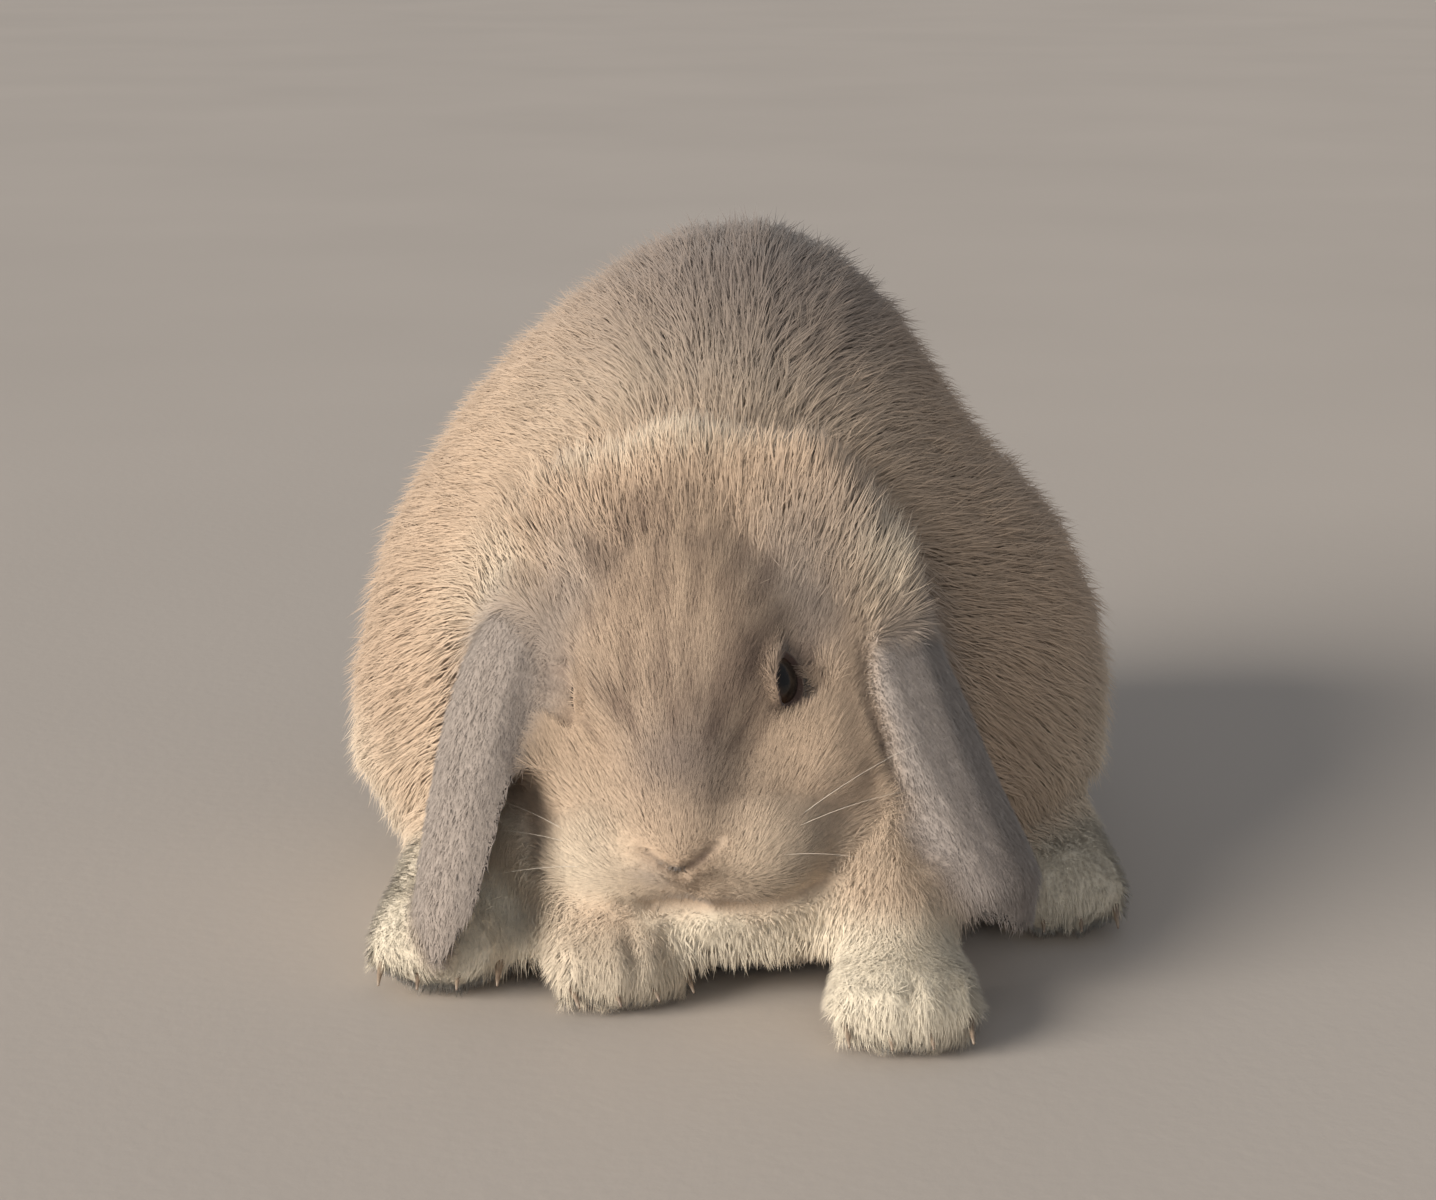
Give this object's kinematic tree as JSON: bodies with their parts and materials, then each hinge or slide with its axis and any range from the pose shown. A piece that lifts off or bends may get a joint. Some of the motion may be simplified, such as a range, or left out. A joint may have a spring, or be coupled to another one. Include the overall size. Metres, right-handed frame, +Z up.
{
  "type": "lop rabbit figure",
  "caption": "Life-size still model of a fluffy fawn lop-eared rabbit, crouching with its nose low and its long ears hanging beside its face.",
  "frame": {"origin": "on the floor, under the middle of the rabbit's bounding box", "axes": "+X towards the animal's left, +Y towards its tail, +Z up"},
  "size_m": [0.1948, 0.2734, 0.1637],
  "materials": {
    "coat_fawn": "long soft fawn coat, darker along the spine",
    "coat_cream": "short dense cream fur",
    "ear_coat": "short velvety grey fur",
    "eye": "wet gloss, dark brown",
    "claw": "satin horn"
  },
  "bodies": {
    "root": {"head": "coat_fawn", "neck": "coat_fawn", "trunk": "coat_fawn", "haunch_left": "coat_fawn", "haunch_right": "coat_fawn", "tail": "coat_cream", "ear_left": "ear_coat", "ear_right": "ear_coat", "eye_left": "eye", "eye_right": "eye", "foreleg_left": "coat_cream", "foreleg_right": "coat_cream", "hind_foot_left": "coat_cream", "hind_foot_right": "coat_cream", "foreleg_left_claw_1": "claw", "foreleg_left_claw_2": "claw", "foreleg_left_claw_3": "claw", "foreleg_left_claw_4": "claw", "hind_foot_left_claw_1": "claw", "hind_foot_left_claw_2": "claw", "hind_foot_left_claw_3": "claw", "hind_foot_left_claw_4": "claw", "foreleg_right_claw_1": "claw", "foreleg_right_claw_2": "claw", "foreleg_right_claw_3": "claw", "foreleg_right_claw_4": "claw", "hind_foot_right_claw_1": "claw", "hind_foot_right_claw_2": "claw", "hind_foot_right_claw_3": "claw", "hind_foot_right_claw_4": "claw"}
  },
  "joints": []
}
